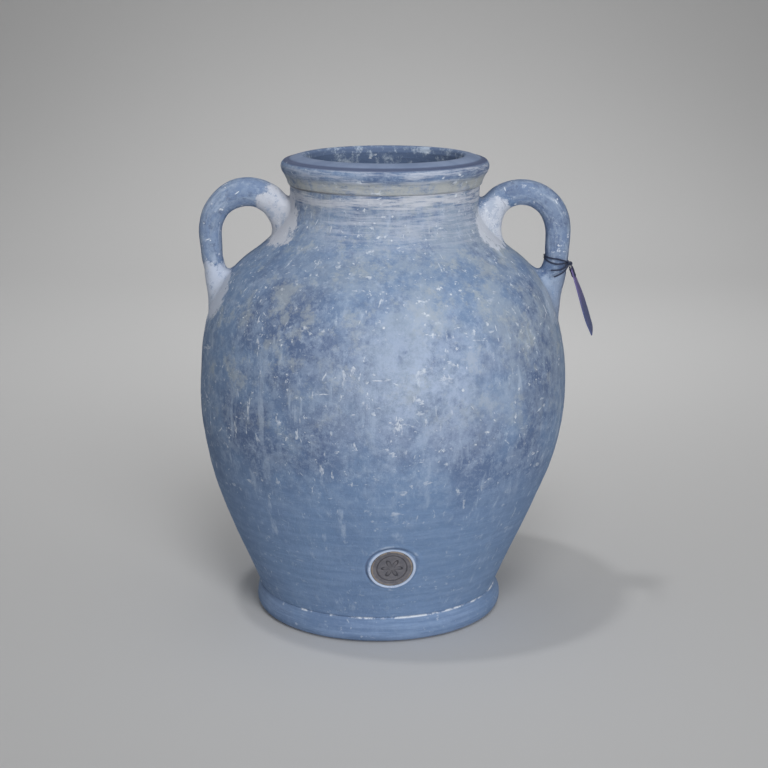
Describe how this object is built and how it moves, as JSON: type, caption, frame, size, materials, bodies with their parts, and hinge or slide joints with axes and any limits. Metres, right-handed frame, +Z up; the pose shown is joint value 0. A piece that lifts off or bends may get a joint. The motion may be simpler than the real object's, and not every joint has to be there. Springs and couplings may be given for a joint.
{
  "type": "two-handled storage jar",
  "caption": "Handled storage jar with a heavy collar, foot ring, pressed seal and a card tag tied to one handle with string.",
  "frame": {"origin": "on the floor, at the centre of the object's box", "axes": "+Z up; the handles lie along X, the tag is on the +X handle, and the seal faces -Y"},
  "size_m": [0.345, 0.3176, 0.4],
  "materials": {
    "clay": "matt chalky blue-grey slip, worn pale in patches",
    "collar_clay": "smooth dark slate blue, satin",
    "slip": "pale lilac slip, matt",
    "seal_metal": "dull taupe, tarnished",
    "string": "waxed, near-black blue",
    "card": "dark slate card, matt"
  },
  "bodies": {
    "jar": {"foot_ring": "clay", "vessel_body": "clay", "rim_collar": "collar_clay", "handle_right": "clay", "handle_right_neck_luting": "slip", "handle_right_shoulder_luting": "slip", "handle_left": "clay", "handle_left_neck_luting": "slip", "handle_left_shoulder_luting": "slip", "seal_disc": "seal_metal", "seal_bezel": "slip", "tag_string_wrap": "string", "tag_string_tail_1": "string", "tag_string_tail_2": "string", "tag_string_knot": "string"},
    "strand": {"tag_strand": "string"},
    "tag": {"tag_card": "card"}
  },
  "joints": [
    {"name": "tag_swing", "type": "hinge", "parent": "jar", "child": "strand", "pos_m": [0.15962, -0.01071, 0.3079], "axis": [0, 1, 0], "range_deg": [-60, 14]},
    {"name": "tag_turn", "type": "hinge", "parent": "strand", "child": "tag", "pos_m": [0.16415, -0.01071, 0.2958], "axis": [0.9263, -0.1039, 0.3622], "range_deg": [-30, 30]}
  ]
}
